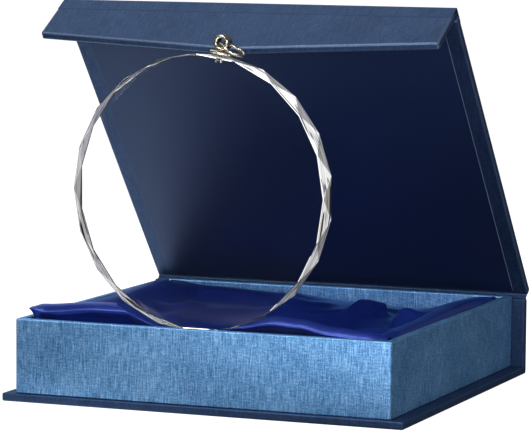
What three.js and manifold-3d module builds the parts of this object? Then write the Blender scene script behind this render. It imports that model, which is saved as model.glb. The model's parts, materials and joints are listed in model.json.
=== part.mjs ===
// Book-style presentation box with a satin-lined tray, a hinged lid with a closing flap,
// and a clear faceted medal that stands on the satin behind the tray's front wall.
// Millimetres, +Z up, the front faces -Y. The origin is the middle of the base's underside.

import * as THREE from 'three';
import { mergeVertices } from 'three/addons/utils/BufferGeometryUtils.js';
import Module from 'manifold-3d';

const wasm = await Module();
wasm.setup();

// Tray, outside sizes
const tray_width = 116;
const tray_depth = 112;
const tray_height = 22;

// Panels: a greyboard core between covering paper and lining paper
const panel_thickness = 2.4;
const paper_thickness = 0.3;
const glue_gap = 0.1;
const turned_gap = 0.3;
const side_overhang = 4;
const front_overhang = 1;
const spine_gap = 0.3;
const base_turn_in = 14;
const rim_turn_in = 16;

// Lid and its paper hinge
const lid_seat_gap = 0.3;
const hinge_drop = 0.4;
const hinge_setback = 0.3;
const fold_clearance = 0.45;
const liner_margin = 4;
const lid_open_degrees = 49.8;

// Flap with a shallow V-shaped free edge
const flap_end_length = 18.8;
const flap_apex_length = 24.3;
const flap_seat_gap = 0.3;
const flap_gutter = 2.9;
const flap_open_degrees = 10.2;

// Magnets in the flap and steel keepers in the tray's front wall
const magnet_radius = 4;
const magnet_thickness = 0.6;
const keeper_thickness = 1;
const pocket_clearance = 0.3;
const magnet_side_inset = 22;
const magnet_drop = 13;

// Foam pad with the round recess that the medal lies in
const pad_clearance = 0.5;
const pad_drop = 7.4;
const recess_radius = 43;
const recess_depth = 8;
const recess_edge_round = 2;

// Satin lining, laid loose over the pad
const satin_thickness = 0.8;
const satin_wall_gap = 0.5;
const satin_drop = 5.2;
const satin_bowl_depth = 5.4;
const satin_bowl_radius = 40;
const satin_bowl_slope = 14;
const satin_cells = 24;

// Medal
const disc_radius = 40;
const disc_thickness = 6.5;
const disc_sides = 20;
const medal_setback = 7;
const medal_sink = 2;
const medal_side_offset = 3.9;
const medal_yaw_degrees = -4;
const medal_roll_degrees = 8.7;
const medal_seat_gap = 0.3;

// Bail: a collar on the rim and a cast eye whose peg is set in the crystal
const peg_radius = 0.8;
const peg_length = 1.6;
const peg_clearance = 0.3;
const cap_length = 7;
const cap_width = 4.4;
const cap_thickness = 0.8;
const cap_seat_gap = 0.45;
const eye_outer_radius = 2.3;
const eye_bore_radius = 1.3;
const eye_length = 3.4;
const eye_edge_round = 0.45;
const eye_neck_radius = 1.2;
const eye_stand_off = 0.3;

// Jump ring
const ring_radius = 3.6;
const ring_wire_radius = 0.45;
const ring_rest_degrees = -22;

// Manufacturing helpers
const cut_overrun = 1;
const weld_tolerance = 0.0004;
const round_steps = 48;
const wire_steps = 12;

// Heights and depths that the pieces share
const base_width = tray_width + 2 * side_overhang;
const base_depth = front_overhang + tray_depth + spine_gap + panel_thickness;
const base_front_y = -base_depth / 2;
const base_back_y = base_depth / 2;
const tray_front_y = base_front_y + front_overhang;
const tray_back_y = tray_front_y + tray_depth;
const tray_middle_y = (tray_front_y + tray_back_y) / 2;
const spine_front_y = tray_back_y + spine_gap;
const rim_z = panel_thickness + tray_height;
const skin_root = paper_thickness + glue_gap;
const skin_turned = paper_thickness + turned_gap;
const hinge_y = base_back_y + hinge_setback;
const hinge_z = rim_z - hinge_drop;
const lid_fold_offset = rim_z + lid_seat_gap + panel_thickness - paper_thickness / 2 - hinge_z;
const fold_y = tray_front_y - flap_seat_gap - panel_thickness + paper_thickness / 2;
const lid_length = hinge_y - fold_y;

// Colours read from the object
const paper_blue = 0x3a6f9f;
const paper_dark_blue = 0x233552;
const liner_navy = 0x1c2547;
const greyboard_grey = 0x8a8478;
const satin_blue = 0x1a2396;
const foam_white = 0xe8e8e4;
const crystal_clear = 0xf2f6f8;
const champagne_gold = 0xcbbf98;
const silver_steel = 0xb9bcc0;

function finish(color, roughness, metalness) {
  return new THREE.MeshStandardMaterial({ color, roughness, metalness });
}

function box_between(low, high) {
  const size = high.map((value, axis) => value - low[axis]);
  const geometry = new THREE.BoxGeometry(...size);
  geometry.translate(...low.map((value, axis) => value + size[axis] / 2));
  return geometry;
}

function solid(geometry) {
  const bare = geometry.clone();
  bare.deleteAttribute('normal');
  bare.deleteAttribute('uv');
  const merged = mergeVertices(bare, weld_tolerance);
  const corners = merged.attributes.position.array;
  const triangles = merged.index.array;
  return new wasm.Manifold(new wasm.Mesh({
    numProp: 3,
    vertProperties: new Float32Array(corners),
    triVerts: new Uint32Array(triangles),
  }));
}

function geometry_of(body) {
  const mesh = body.getMesh();
  const geometry = new THREE.BufferGeometry();
  geometry.setAttribute('position', new THREE.BufferAttribute(new Float32Array(mesh.vertProperties), 3));
  geometry.setIndex(new THREE.BufferAttribute(new Uint32Array(mesh.triVerts), 1));
  geometry.computeVertexNormals();
  return geometry;
}

function cut(geometry, ...tools) {
  let body = solid(geometry);
  for (const tool of tools) body = body.subtract(solid(tool));
  return geometry_of(body);
}

function join(geometry, ...others) {
  let body = solid(geometry);
  for (const other of others) body = body.add(solid(other));
  return geometry_of(body);
}

function piece(name, geometry, material) {
  const mesh = new THREE.Mesh(geometry, material);
  mesh.name = name;
  return mesh;
}

function disc_along_y(radius, thickness, x, y, z) {
  const geometry = new THREE.CylinderGeometry(radius, radius, thickness, round_steps);
  geometry.translate(x, y, z);
  return geometry;
}

const paper = finish(paper_blue, 0.45, 0.25);
const dark_paper = finish(paper_dark_blue, 0.5, 0.2);
const lining_paper = finish(liner_navy, 0.6, 0.1);
const greyboard = finish(greyboard_grey, 0.95, 0);
const satin = finish(satin_blue, 0.35, 0.05);
const foam = finish(foam_white, 0.95, 0);
const crystal = finish(crystal_clear, 0.05, 0);
const gold = finish(champagne_gold, 0.25, 1);
const steel = finish(silver_steel, 0.35, 1);

// The base panel: a board in a wrap whose edges are turned in on top
function base_panel() {
  const half = base_width / 2;
  const board_back_y = spine_front_y - glue_gap;
  const board = box_between(
    [-half + skin_root, base_front_y + skin_root, skin_root],
    [half - skin_root, board_back_y, panel_thickness - skin_root],
  );
  const shell = box_between(
    [-half, base_front_y, 0],
    [half, board_back_y, panel_thickness],
  );
  const hollow = box_between(
    [-half + paper_thickness, base_front_y + paper_thickness, paper_thickness],
    [half - paper_thickness, board_back_y + cut_overrun, panel_thickness - paper_thickness],
  );
  const window_cut = box_between(
    [-half + base_turn_in, base_front_y + base_turn_in, panel_thickness / 2],
    [half - base_turn_in, board_back_y + cut_overrun, panel_thickness + cut_overrun],
  );
  const rear_strip = box_between(
    [-half, board_back_y - base_turn_in, 0],
    [half, base_back_y, paper_thickness],
  );
  const wrap = join(cut(shell, hollow, window_cut), rear_strip);
  return [
    piece('base_board', board, greyboard),
    piece('base_wrap', wrap, dark_paper),
  ];
}

// The spine panel stands behind the tray on the base's paper
function spine_panel() {
  const half = base_width / 2;
  const foot_z = paper_thickness + glue_gap;
  const board_top_z = hinge_z - fold_clearance - skin_root;
  const wrap_top_z = hinge_z - fold_clearance;
  const board = box_between(
    [-half + skin_root, spine_front_y + skin_root, foot_z + glue_gap],
    [half - skin_root, base_back_y - skin_root, board_top_z],
  );
  const shell = box_between(
    [-half, spine_front_y, foot_z],
    [half, base_back_y, wrap_top_z],
  );
  const hollow = box_between(
    [-half + paper_thickness, spine_front_y + paper_thickness, foot_z - cut_overrun],
    [half - paper_thickness, base_back_y - paper_thickness, wrap_top_z + cut_overrun],
  );
  const front_window = box_between(
    [-half + base_turn_in, spine_front_y - cut_overrun, foot_z - cut_overrun],
    [half - base_turn_in, base_back_y - panel_thickness / 2, wrap_top_z + cut_overrun],
  );
  const lining = box_between(
    [-half + skin_root, spine_front_y + skin_root, wrap_top_z - paper_thickness],
    [half - skin_root, base_back_y - skin_root, wrap_top_z],
  );
  return [
    piece('spine_board', board, greyboard),
    piece('spine_wrap', cut(shell, hollow, front_window), dark_paper),
    piece('hinge_lining', lining, lining_paper),
  ];
}

// The tray: four walls and a floor of greyboard inside a wrap turned over the rim
function tray_boards() {
  const half = tray_width / 2;
  const wall = panel_thickness - 2 * skin_root;
  const foot_z = panel_thickness + glue_gap;
  const top_z = rim_z - skin_root;
  const outer_x = half - skin_root;
  const front_y = tray_front_y + skin_root;
  const back_y = tray_back_y - skin_root;
  const inner_x = outer_x - wall;
  const inner_front_y = front_y + wall;
  const inner_back_y = back_y - wall;
  const keeper_y = (front_y + inner_front_y) / 2;
  const pockets = magnet_places().map(({ x, z }) => (
    disc_along_y(magnet_radius + pocket_clearance, wall + 2 * cut_overrun, x, keeper_y, z)
  ));
  const front = cut(
    box_between([-inner_x + glue_gap, front_y, foot_z], [inner_x - glue_gap, inner_front_y, top_z]),
    ...pockets,
  );
  const rear = box_between(
    [-inner_x + glue_gap, inner_back_y, foot_z],
    [inner_x - glue_gap, back_y, top_z],
  );
  const left = box_between([-outer_x, front_y, foot_z], [-inner_x, back_y, top_z]);
  const right = box_between([inner_x, front_y, foot_z], [outer_x, back_y, top_z]);
  const floor = box_between(
    [-inner_x + glue_gap, inner_front_y + glue_gap, foot_z],
    [inner_x - glue_gap, inner_back_y - glue_gap, foot_z + wall],
  );
  const keepers = magnet_places().map(({ side, x, z }) => (
    piece(`keeper_${side}`, disc_along_y(magnet_radius, keeper_thickness, x, keeper_y, z), steel)
  ));
  return [
    piece('tray_floor', floor, greyboard),
    piece('tray_front_wall', front, greyboard),
    piece('tray_rear_wall', rear, greyboard),
    piece('tray_left_wall', left, greyboard),
    piece('tray_right_wall', right, greyboard),
    ...keepers,
  ];
}

function magnet_places() {
  const x = base_width / 2 - magnet_side_inset;
  const z = hinge_z + lid_fold_offset - magnet_drop;
  return [
    { side: 'left', x: -x, z },
    { side: 'right', x, z },
  ];
}

function tray_wrap() {
  const half = tray_width / 2;
  const foot_z = panel_thickness + glue_gap;
  const shell = box_between([-half, tray_front_y, foot_z], [half, tray_back_y, rim_z]);
  const inside = box_between(
    [-half + panel_thickness, tray_front_y + panel_thickness, foot_z - cut_overrun],
    [half - panel_thickness, tray_back_y - panel_thickness, rim_z + cut_overrun],
  );
  const slot_outside = box_between(
    [-half + paper_thickness, tray_front_y + paper_thickness, foot_z - cut_overrun],
    [half - paper_thickness, tray_back_y - paper_thickness, rim_z - paper_thickness],
  );
  const lip = panel_thickness - paper_thickness;
  const slot_inside = box_between(
    [-half + lip, tray_front_y + lip, rim_z - rim_turn_in],
    [half - lip, tray_back_y - lip, rim_z + cut_overrun],
  );
  return piece('tray_wrap', cut(shell, inside, cut(slot_outside, slot_inside)), paper);
}

// The foam pad fills the tray and has a round recess with a rounded edge
function foam_pad() {
  const half = tray_width / 2 - panel_thickness - pad_clearance;
  const front_y = tray_front_y + panel_thickness + pad_clearance;
  const back_y = tray_back_y - panel_thickness - pad_clearance;
  const foot_z = panel_thickness + glue_gap + (panel_thickness - 2 * skin_root) + glue_gap;
  const top_z = rim_z - pad_drop;
  const block = box_between([-half, front_y, foot_z], [half, back_y, top_z]);
  const profile = [new THREE.Vector2(0, -recess_depth), new THREE.Vector2(recess_radius, -recess_depth)];
  const turns = 6;
  for (let step = 0; step <= turns; step += 1) {
    const angle = (step / turns) * (Math.PI / 2);
    profile.push(new THREE.Vector2(
      recess_radius + recess_edge_round * (1 - Math.cos(angle)),
      recess_edge_round * (Math.sin(angle) - 1),
    ));
  }
  profile.push(new THREE.Vector2(recess_radius + recess_edge_round, cut_overrun));
  profile.push(new THREE.Vector2(0, cut_overrun));
  const tool = new THREE.LatheGeometry(profile, 2 * round_steps);
  tool.rotateX(Math.PI / 2);
  tool.translate(0, tray_middle_y, top_z);
  return piece('foam_pad', cut(block, tool), foam);
}

// Folds of the satin as ridges, in shares of the tray's inner half width and half depth.
// Each runs from one place to another with a width and a rise; the rise follows the tray's height.
const satin_fold_shares = [
  { from: [-0.98, -0.95], to: [-0.62, -0.93], width: 0.10, rise: 0.30 },
  { from: [-0.98, -0.92], to: [-0.94, -0.40], width: 0.09, rise: 0.16 },
  { from: [-0.60, -0.96], to: [-0.22, -0.84], width: 0.09, rise: 0.14 },
  { from: [0.12, -0.93], to: [0.72, -0.88], width: 0.11, rise: 0.36 },
  { from: [0.66, -0.93], to: [0.97, -0.95], width: 0.09, rise: 0.17 },
  { from: [0.42, 0.28], to: [0.74, 0.06], width: 0.07, rise: 0.13 },
  { from: [0.93, -0.80], to: [0.95, -0.05], width: 0.10, rise: 0.22 },
  { from: [0.80, 0.10], to: [0.95, 0.80], width: 0.12, rise: 0.22 },
  { from: [-0.95, -0.10], to: [-0.93, 0.92], width: 0.12, rise: 0.18 },
  { from: [-0.90, 0.93], to: [-0.25, 0.90], width: 0.12, rise: 0.17 },
  { from: [-0.70, -0.55], to: [-0.86, -0.15], width: 0.07, rise: 0.08 },
  { from: [0.10, 0.93], to: [0.62, 0.80], width: 0.10, rise: 0.05 },
];

function satin_ridge(u, v, fold) {
  const [from_u, from_v] = fold.from;
  const [run_u, run_v] = [fold.to[0] - from_u, fold.to[1] - from_v];
  const share = THREE.MathUtils.clamp(
    ((u - from_u) * run_u + (v - from_v) * run_v) / (run_u ** 2 + run_v ** 2),
    0,
    1,
  );
  const off = Math.hypot(u - from_u - share * run_u, v - from_v - share * run_v) / fold.width;
  return tray_height * fold.rise * Math.exp(-off * off);
}

// Height of the satin's upper face above the origin at a place of the tray
function satin_height(x, y) {
  const half_x = tray_width / 2 - panel_thickness;
  const half_y = tray_depth / 2 - panel_thickness;
  const u = x / half_x;
  const v = (y - tray_middle_y) / half_y;
  const from_middle = Math.hypot(x, y - tray_middle_y);
  const bowl = THREE.MathUtils.smoothstep(satin_bowl_radius - from_middle, 0, satin_bowl_slope);
  let height = rim_z - satin_drop - satin_bowl_depth * bowl;
  for (const fold of satin_fold_shares) height += satin_ridge(u, v, fold) * (1 - bowl);
  return Math.min(height, satin_room_under_medal(x, y));
}

// The satin is pressed down under the standing medal, following the disc's lower edge
function satin_room_under_medal(x, y) {
  const along = Math.min(Math.abs(x + medal_side_offset), disc_radius);
  const edge_z = rim_z - medal_sink + disc_radius - Math.sqrt(disc_radius ** 2 - along ** 2);
  const behind = Math.abs(y - (tray_front_y + medal_setback + disc_thickness / 2));
  const clear = disc_thickness / 2 + disc_radius * Math.sin(Math.abs(THREE.MathUtils.degToRad(medal_yaw_degrees)));
  const away = Math.max(0, behind - clear);
  return edge_z - 2 * medal_seat_gap + away;
}

function satin_lining() {
  const half_x = tray_width / 2 - panel_thickness - satin_wall_gap;
  const half_y = tray_depth / 2 - panel_thickness - satin_wall_gap;
  const row = satin_cells + 1;
  const corners = [];
  for (const drop of [0, satin_thickness]) {
    for (let j = 0; j < row; j += 1) {
      for (let i = 0; i < row; i += 1) {
        const x = half_x * ((2 * i) / satin_cells - 1);
        const y = tray_middle_y + half_y * ((2 * j) / satin_cells - 1);
        corners.push(x, y, satin_height(x, y) - drop);
      }
    }
  }
  const at = (i, j, layer) => layer * row * row + j * row + i;
  const triangles = [];
  const quad = (a, b, c, d) => triangles.push(a, b, c, a, c, d);
  for (let j = 0; j < satin_cells; j += 1) {
    for (let i = 0; i < satin_cells; i += 1) {
      quad(at(i, j, 0), at(i + 1, j, 0), at(i + 1, j + 1, 0), at(i, j + 1, 0));
      quad(at(i, j + 1, 1), at(i + 1, j + 1, 1), at(i + 1, j, 1), at(i, j, 1));
    }
  }
  for (let k = 0; k < satin_cells; k += 1) {
    quad(at(k, 0, 1), at(k + 1, 0, 1), at(k + 1, 0, 0), at(k, 0, 0));
    quad(at(k + 1, satin_cells, 1), at(k, satin_cells, 1), at(k, satin_cells, 0), at(k + 1, satin_cells, 0));
    quad(at(0, k + 1, 1), at(0, k, 1), at(0, k, 0), at(0, k + 1, 0));
    quad(at(satin_cells, k, 1), at(satin_cells, k + 1, 1), at(satin_cells, k + 1, 0), at(satin_cells, k, 0));
  }
  const geometry = new THREE.BufferGeometry();
  geometry.setAttribute('position', new THREE.Float32BufferAttribute(corners, 3));
  geometry.setIndex(triangles);
  geometry.computeVertexNormals();
  return piece('satin_lining', geometry, satin);
}

// The lid panel, drawn closed with its hinge line at the group's origin
function lid_panel() {
  const half = base_width / 2;
  const outer_z = lid_fold_offset + paper_thickness / 2;
  const inner_z = outer_z - panel_thickness;
  const front_y = -lid_length + flap_gutter;
  const rear_y = paper_thickness / 2;
  const board = box_between(
    [-half + skin_turned, front_y + skin_turned, inner_z + skin_turned],
    [half - skin_turned, rear_y - skin_turned, outer_z - skin_turned],
  );
  const shell = box_between([-half, front_y, inner_z], [half, rear_y, outer_z]);
  const hollow = box_between(
    [-half + paper_thickness, front_y + paper_thickness, inner_z + paper_thickness],
    [half - paper_thickness, rear_y - paper_thickness, outer_z - paper_thickness],
  );
  const lip = liner_margin + turned_gap;
  const window_cut = box_between(
    [-half + lip, front_y + lip, inner_z - cut_overrun],
    [half - lip, rear_y - skin_turned, inner_z + panel_thickness / 2],
  );
  const hinge_leg = box_between(
    [-half, -paper_thickness / 2, fold_clearance],
    [half, paper_thickness / 2, outer_z],
  );
  const fold_strip = box_between(
    [-half, -lid_length + fold_clearance, outer_z - paper_thickness],
    [half, front_y + paper_thickness, outer_z],
  );
  const liner = box_between(
    [-half + lip + turned_gap, front_y + lip + turned_gap, inner_z],
    [half - lip - turned_gap, rear_y - skin_turned - turned_gap, inner_z + paper_thickness],
  );
  const lid = new THREE.Group();
  lid.add(piece('lid_board', board, greyboard));
  lid.add(piece('lid_wrap', join(cut(shell, hollow, window_cut), hinge_leg, fold_strip), dark_paper));
  lid.add(piece('lid_liner', liner, lining_paper));
  return lid;
}

// Outline of the flap set in from its edges, with z down from the fold
function flap_outline(inset) {
  const half = base_width / 2;
  const slope = (flap_apex_length - flap_end_length) / half;
  const edge_rise = inset * Math.hypot(1, slope);
  const end_x = half - inset;
  const end_z = -flap_apex_length + slope * end_x + edge_rise;
  const top_z = -flap_gutter - inset;
  return new THREE.Shape([
    new THREE.Vector2(-end_x, top_z),
    new THREE.Vector2(-end_x, end_z),
    new THREE.Vector2(0, -flap_apex_length + edge_rise),
    new THREE.Vector2(end_x, end_z),
    new THREE.Vector2(end_x, top_z),
  ]);
}

// A slab of the flap's outline between two depths behind its outer face
function flap_slab(inset, near_y, far_y) {
  const slab = new THREE.ExtrudeGeometry(flap_outline(inset), { depth: far_y - near_y, bevelEnabled: false });
  slab.rotateX(Math.PI / 2);
  slab.translate(0, far_y, 0);
  return slab;
}

// The flap panel, drawn folded down over the tray's front with its fold at the group's origin
function flap_panel() {
  const half = base_width / 2;
  const outer_y = -paper_thickness / 2;
  const inner_y = outer_y + panel_thickness;
  const board_near_y = outer_y + skin_turned;
  const board_far_y = inner_y - skin_turned;
  const magnet_y = (board_near_y + board_far_y) / 2;
  const places = magnet_places();
  const pockets = places.map(({ x }) => disc_along_y(
    magnet_radius + pocket_clearance,
    board_far_y - board_near_y + 2 * cut_overrun,
    x,
    magnet_y,
    -magnet_drop,
  ));
  const lip = liner_margin + turned_gap;
  const shell = cut(
    flap_slab(0, outer_y, inner_y),
    flap_slab(paper_thickness, outer_y + paper_thickness, inner_y - paper_thickness),
    flap_slab(lip, outer_y + panel_thickness / 2, inner_y + cut_overrun),
  );
  const fold_strip = box_between(
    [-half, outer_y, -flap_gutter - paper_thickness],
    [half, outer_y + paper_thickness, -fold_clearance],
  );
  const flap = new THREE.Group();
  flap.add(piece('flap_board', cut(flap_slab(skin_turned, board_near_y, board_far_y), ...pockets), greyboard));
  flap.add(piece('flap_wrap', join(shell, fold_strip), dark_paper));
  flap.add(piece('flap_liner', flap_slab(lip + turned_gap, inner_y - paper_thickness, inner_y), lining_paper));
  for (const { side, x } of places) {
    flap.add(piece(
      `magnet_${side}`,
      disc_along_y(magnet_radius, magnet_thickness, x, magnet_y, -magnet_drop),
      steel,
    ));
  }
  return flap;
}

// The crystal disc: two equal polygons, one turned by half a side, joined by triangular facets.
// Its middle is the origin, it faces -Y, and the bail sits at +Z over the middle of a front side.
function crystal_disc() {
  const corners = [];
  const half_side = Math.PI / disc_sides;
  const front_y = -disc_thickness / 2;
  for (const [y, turn] of [[front_y, half_side], [-front_y, 0]]) {
    for (let i = 0; i < disc_sides; i += 1) {
      const angle = Math.PI / 2 + turn + 2 * half_side * i;
      corners.push(disc_radius * Math.cos(angle), y, disc_radius * Math.sin(angle));
    }
  }
  const triangles = [];
  for (let i = 0; i < disc_sides; i += 1) {
    const next = (i + 1) % disc_sides;
    triangles.push(i, disc_sides + i, disc_sides + next);
    triangles.push(i, disc_sides + next, next);
    if (i > 0 && i < disc_sides - 1) {
      triangles.push(0, i, i + 1);
      triangles.push(disc_sides, disc_sides + i + 1, disc_sides + i);
    }
  }
  const geometry = new THREE.BufferGeometry();
  geometry.setAttribute('position', new THREE.Float32BufferAttribute(corners, 3));
  geometry.setIndex(triangles);
  const hole_radius = peg_radius + peg_clearance;
  const hole_depth = peg_length + peg_clearance;
  const hole = new THREE.CylinderGeometry(hole_radius, hole_radius, hole_depth + cut_overrun, round_steps / 2);
  hole.rotateX(Math.PI / 2);
  hole.translate(0, 0, disc_radius + cut_overrun - (hole_depth + cut_overrun) / 2);
  return piece('crystal_disc', cut(geometry, hole), crystal);
}

const cap_foot_z = disc_radius * Math.cos(Math.PI / disc_sides / 2) + cap_seat_gap;
const cap_top_z = cap_foot_z + cap_thickness;
const eye_centre_z = cap_top_z + eye_stand_off + eye_outer_radius;

// The collar: a slab with round ends and a clearance hole for the peg
function bail_cap() {
  const outline = new THREE.Shape();
  const end_x = (cap_length - cap_width) / 2;
  const end_radius = cap_width / 2;
  outline.absarc(end_x, 0, end_radius, -Math.PI / 2, Math.PI / 2, false);
  outline.absarc(-end_x, 0, end_radius, Math.PI / 2, (3 * Math.PI) / 2, false);
  const hole = new THREE.Path();
  hole.absarc(0, 0, peg_radius + peg_clearance, 0, 2 * Math.PI, true);
  outline.holes.push(hole);
  const slab = new THREE.ExtrudeGeometry(outline, {
    depth: cap_thickness,
    bevelEnabled: false,
    curveSegments: round_steps / 4,
  });
  slab.translate(0, 0, cap_foot_z);
  return piece('bail_cap', slab, gold);
}

// The eye: a barrel with rounded rims along Y, on a neck that runs into the peg
function bail_eye() {
  const half_length = eye_length / 2;
  const profile = [];
  const rim = (radius, y, from_angle) => {
    const turns = 4;
    for (let step = 0; step <= turns; step += 1) {
      const angle = from_angle + (step / turns) * (Math.PI / 2);
      profile.push(new THREE.Vector2(
        radius + eye_edge_round * Math.cos(angle),
        y + eye_edge_round * Math.sin(angle),
      ));
    }
  };
  const inner = eye_bore_radius + eye_edge_round;
  const outer = eye_outer_radius - eye_edge_round;
  rim(inner, -half_length + eye_edge_round, Math.PI);
  rim(outer, -half_length + eye_edge_round, -Math.PI / 2);
  rim(outer, half_length - eye_edge_round, 0);
  rim(inner, half_length - eye_edge_round, Math.PI / 2);
  profile.push(profile[0].clone());
  const barrel = new THREE.LatheGeometry(profile, round_steps);
  barrel.translate(0, 0, eye_centre_z);
  const neck_top_z = eye_centre_z - (eye_bore_radius + eye_outer_radius) / 2;
  const neck_foot_z = cap_top_z + eye_stand_off;
  const neck = new THREE.CylinderGeometry(
    eye_neck_radius,
    eye_neck_radius,
    neck_top_z - neck_foot_z,
    round_steps / 2,
  );
  neck.rotateX(Math.PI / 2);
  neck.translate(0, 0, (neck_top_z + neck_foot_z) / 2);
  const peg_top_z = (neck_top_z + neck_foot_z) / 2;
  const peg_foot_z = disc_radius - peg_length;
  const peg = new THREE.CylinderGeometry(peg_radius, peg_radius, peg_top_z - peg_foot_z, round_steps / 2);
  peg.rotateX(Math.PI / 2);
  peg.translate(0, 0, (peg_top_z + peg_foot_z) / 2);
  return piece('bail_eye', join(barrel, neck, peg), gold);
}

// The jump ring, drawn in the XY plane with the eye's bore at the group's origin
function jump_ring() {
  const ring = new THREE.TorusGeometry(ring_radius, ring_wire_radius, wire_steps, round_steps);
  ring.translate(ring_radius, 0, 0);
  return piece('jump_ring', ring, gold);
}

function medal() {
  const group = new THREE.Group();
  group.add(crystal_disc(), bail_cap(), bail_eye());
  const swing = new THREE.Group();
  swing.add(jump_ring());
  swing.position.set(0, 0, eye_centre_z);
  swing.rotation.y = -THREE.MathUtils.degToRad(ring_rest_degrees);
  group.add(swing);
  group.rotation.order = 'ZXY';
  group.rotation.z = THREE.MathUtils.degToRad(medal_yaw_degrees);
  group.rotation.y = THREE.MathUtils.degToRad(medal_roll_degrees);
  group.position.set(
    -medal_side_offset,
    tray_front_y + medal_setback + disc_thickness / 2,
    rim_z - medal_sink + disc_radius,
  );
  return group;
}

const part = new THREE.Group();
part.add(...base_panel(), ...spine_panel(), ...tray_boards(), tray_wrap(), foam_pad(), satin_lining());

const lid = lid_panel();
lid.position.set(0, hinge_y, hinge_z);
lid.rotation.x = -THREE.MathUtils.degToRad(lid_open_degrees);
const flap = flap_panel();
flap.position.set(0, -lid_length, lid_fold_offset);
flap.rotation.x = -THREE.MathUtils.degToRad(flap_open_degrees);
lid.add(flap);
part.add(lid, medal());

export default part;
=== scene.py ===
import json
import math

import bmesh
import bpy
from mathutils import Matrix, Vector, noise


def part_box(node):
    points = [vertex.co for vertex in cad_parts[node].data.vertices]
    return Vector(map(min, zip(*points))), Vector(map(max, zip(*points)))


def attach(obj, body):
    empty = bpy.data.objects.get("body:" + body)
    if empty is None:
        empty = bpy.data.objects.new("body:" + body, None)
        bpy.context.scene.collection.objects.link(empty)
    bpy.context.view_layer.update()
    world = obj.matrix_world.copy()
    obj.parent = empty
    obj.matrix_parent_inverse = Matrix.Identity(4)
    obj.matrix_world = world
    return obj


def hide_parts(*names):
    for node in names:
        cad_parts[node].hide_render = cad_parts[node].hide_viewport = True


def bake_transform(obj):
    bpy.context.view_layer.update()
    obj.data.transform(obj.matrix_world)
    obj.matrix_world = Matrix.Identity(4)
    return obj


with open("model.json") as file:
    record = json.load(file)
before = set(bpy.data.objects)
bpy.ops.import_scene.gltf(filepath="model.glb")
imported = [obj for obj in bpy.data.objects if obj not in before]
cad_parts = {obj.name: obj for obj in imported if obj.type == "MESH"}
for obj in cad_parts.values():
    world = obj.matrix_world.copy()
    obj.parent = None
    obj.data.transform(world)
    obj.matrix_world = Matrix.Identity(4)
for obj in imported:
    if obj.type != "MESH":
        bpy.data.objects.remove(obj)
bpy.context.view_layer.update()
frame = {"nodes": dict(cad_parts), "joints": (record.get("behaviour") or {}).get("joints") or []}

MM = 0.001

# Sizes of the case and the medal, as the solids have them
PANEL = 2.4 * MM
PAPER = 0.3 * MM
LINER_MARGIN = 4.6 * MM
LINER_RAISE = 0.12 * MM
LINER_BACK = 1.6 * MM
BASE_TURN_IN = 14 * MM
SPINE_TURN_IN = 8 * MM
RIM_TURN_IN = 16 * MM
LID_TURN_IN = LINER_MARGIN + 4 * MM
FLAP_TURN_IN = LINER_MARGIN + 1.2 * MM
FOOT_TURN_IN = 1.2 * MM
LID_OPEN = math.radians(49.8)
FLAP_OPEN = math.radians(10.2)
FLAP_GUTTER = 2.9 * MM
FLAP_APEX = 24.3 * MM
FLAP_END = 18.8 * MM
DISC_RADIUS = 40 * MM
DISC_THICKNESS = 6.5 * MM
DISC_SETBACK = 7 * MM
DISC_SINK = 2 * MM
DISC_OFFSET = 3.9 * MM
DISC_YAW = math.radians(-4)
DISC_ROLL = math.radians(8.7)
DISC_SIDES = 20
DISC_CHAMFER = 0.2 * MM
HOLE_RADIUS = 1.1 * MM
HOLE_DEPTH = 1.9 * MM
DRILL_SIDES = 24
RING_REST = math.radians(-22)
RING_RADIUS = 3.6 * MM
RING_STEPS = 96
WIRE_RADIUS = 0.45 * MM
WIRE_SIDES = 24

# How paper turns round a board's edges and corners, and the short flat run that holds each round's ends
EDGE_ROUND = 0.55 * MM
CORNER_ROUND = 0.7 * MM
FOOT_ROUND = 0.28 * MM
LEAST_ROUND = 0.02 * MM
HOLD = 0.15 * MM
ROUND_STEPS = 6
ROUND_STEP = math.radians(90 / ROUND_STEPS)

# Up to these angles an edge counts as bent, or is shaded smooth. Corners closer than the weld become one.
CUT_ANGLE = math.radians(45)
SMOOTH_ANGLE = math.radians(38)
METAL_ANGLE = math.radians(35)
WELD = 0.001 * MM

# Lining sheets and hinge strips: the cut edge's bevel, the corners, how deep a sheet sits, the paper that
# lines the hinges, how far a strip's line keeps off its boards, and how finely and softly it bends
CUT_BEVEL = 0.06 * MM
LINER_CORNER = 0.5 * MM
LINER_DEPTH = 0.2 * MM
THIN_PAPER = 0.2 * MM
SKIN = 0.03 * MM
STRIP_STEP = 0.12 * MM
STRIP_SOFTENING = 6

hinges = {joint["name"]: joint for joint in frame["joints"]}
lid_hinge = Vector(hinges["lid_hinge"]["pos_m"])
fold_hinge = Vector(hinges["flap_hinge"]["pos_m"])
fold_closed = Matrix.Rotation(LID_OPEN, 3, "X") @ (fold_hinge - lid_hinge)
LID_PLACE = Matrix.Translation(lid_hinge) @ Matrix.Rotation(-LID_OPEN, 4, "X")
FLAP_PLACE = LID_PLACE @ Matrix.Translation(fold_closed) @ Matrix.Rotation(-FLAP_OPEN, 4, "X")


# A socket of a node tree. Python's operators on it add Math nodes.
class Wire:
    def __init__(self, shader, socket):
        self.shader = shader
        self.socket = socket

    def reckon(self, operation, first, second):
        settings = {"operation": operation}
        return self.shader.node("ShaderNodeMath", settings, {0: first, 1: second})["Value"]

    def __add__(self, other):
        return self.reckon("ADD", self, other)

    def __radd__(self, other):
        return self.reckon("ADD", other, self)

    def __sub__(self, other):
        return self.reckon("SUBTRACT", self, other)

    def __rsub__(self, other):
        return self.reckon("SUBTRACT", other, self)

    def __mul__(self, other):
        return self.reckon("MULTIPLY", self, other)

    def at_most(self, limit):
        return self.reckon("MINIMUM", self, limit)


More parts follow.
